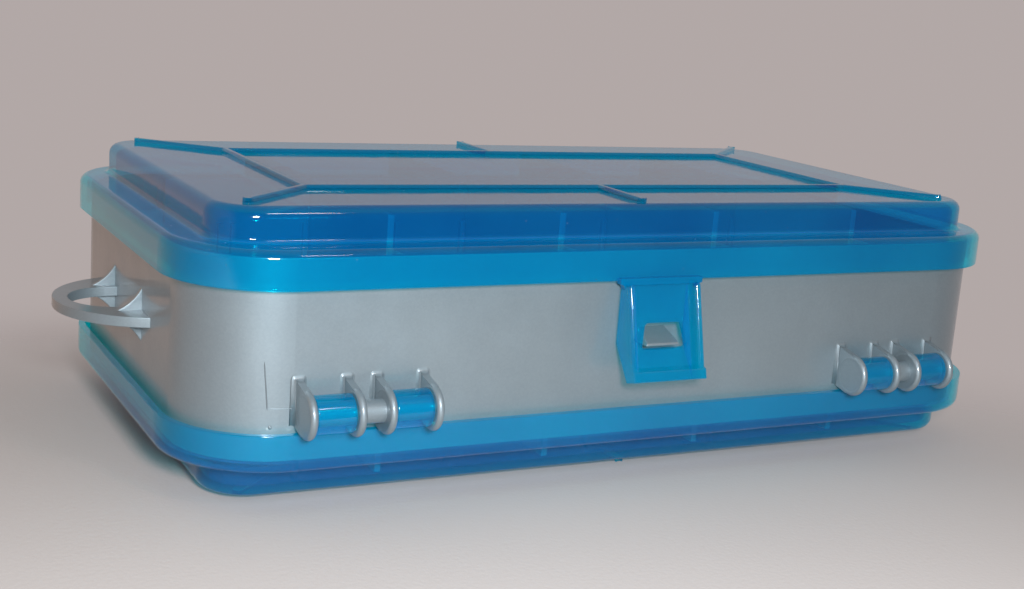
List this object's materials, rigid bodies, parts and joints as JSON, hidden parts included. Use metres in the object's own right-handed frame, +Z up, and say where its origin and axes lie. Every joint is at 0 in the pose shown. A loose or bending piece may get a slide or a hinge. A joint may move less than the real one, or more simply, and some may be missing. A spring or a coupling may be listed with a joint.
{
  "type": "tackle box",
  "caption": "Flat double-sided tackle box: silver tub with a middle floor and divided rows, hinged translucent blue lids above and below with snap latch tabs, and a finger loop at one end.",
  "frame": {"origin": "middle of the resting plane, under the centre of the lids' rims, on the ribs of the bottom lid", "axes": "+X along the length, away from the end loop; +Y to the back, where the top lid is hinged; +Z up"},
  "size_m": [0.2179, 0.1286, 0.06],
  "materials": {
    "tub_plastic": "silver pearl, satin",
    "lid_plastic": "translucent blue, polished",
    "divider_plastic": "pale grey, satin"
  },
  "bodies": {
    "tub": {"tub": "tub_plastic", "divider_tf_1": "divider_plastic", "divider_tf_2": "divider_plastic", "divider_tf_3": "divider_plastic", "divider_tf_4": "divider_plastic", "divider_tr_1": "divider_plastic", "divider_tr_2": "divider_plastic", "divider_tr_3": "divider_plastic", "divider_tr_4": "divider_plastic", "divider_bf_1": "divider_plastic", "divider_bf_2": "divider_plastic", "divider_bf_3": "divider_plastic", "divider_bf_4": "divider_plastic", "divider_br_1": "divider_plastic", "divider_br_2": "divider_plastic", "divider_br_3": "divider_plastic", "divider_br_4": "divider_plastic"},
    "top_lid": {"top_lid": "lid_plastic"},
    "bottom_lid": {"bottom_lid": "lid_plastic"},
    "front_latch": {"front_latch": "lid_plastic"},
    "rear_latch": {"rear_latch": "lid_plastic"}
  },
  "joints": [
    {"name": "top_lid_hinge", "type": "hinge", "parent": "tub", "child": "top_lid", "pos_m": [0, 0.0595, 0.0395], "axis": [-1, 0, 0], "range_deg": [0, 135]},
    {"name": "bottom_lid_hinge", "type": "hinge", "parent": "tub", "child": "bottom_lid", "pos_m": [0, -0.0595, 0.0205], "axis": [-1, 0, 0], "range_deg": [0, 135]},
    {"name": "front_latch_flex", "type": "hinge", "parent": "top_lid", "child": "front_latch", "pos_m": [0, -0.0562, 0.04315], "axis": [-1, 0, 0], "range_deg": [0, 8], "stiffness_Nm_per_rad": 0.25},
    {"name": "rear_latch_flex", "type": "hinge", "parent": "bottom_lid", "child": "rear_latch", "pos_m": [0, 0.0562, 0.01685], "axis": [-1, 0, 0], "range_deg": [0, 8], "stiffness_Nm_per_rad": 0.25}
  ]
}
